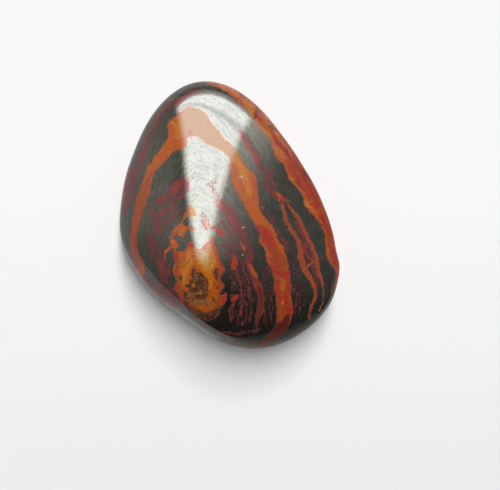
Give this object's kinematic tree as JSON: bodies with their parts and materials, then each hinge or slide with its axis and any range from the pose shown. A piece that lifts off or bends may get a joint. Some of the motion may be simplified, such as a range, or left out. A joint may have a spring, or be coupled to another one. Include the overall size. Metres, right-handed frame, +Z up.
{
  "type": "mugglestone",
  "caption": "Free-form polished mugglestone with a low dome, a rounded edge and a flat resting spot underneath, banded in jasper and dark ironstone.",
  "frame": {"origin": "on the surface that the stone rests on, under the middle of its box", "axes": "+Z up through the dome, +Y along the stone towards its blunt narrow tip, +X towards the chipped side"},
  "size_m": [0.0196, 0.0246, 0.007],
  "materials": {
    "banded_stone": "polished"
  },
  "bodies": {
    "root": {"banded_stone": "banded_stone"}
  },
  "joints": []
}
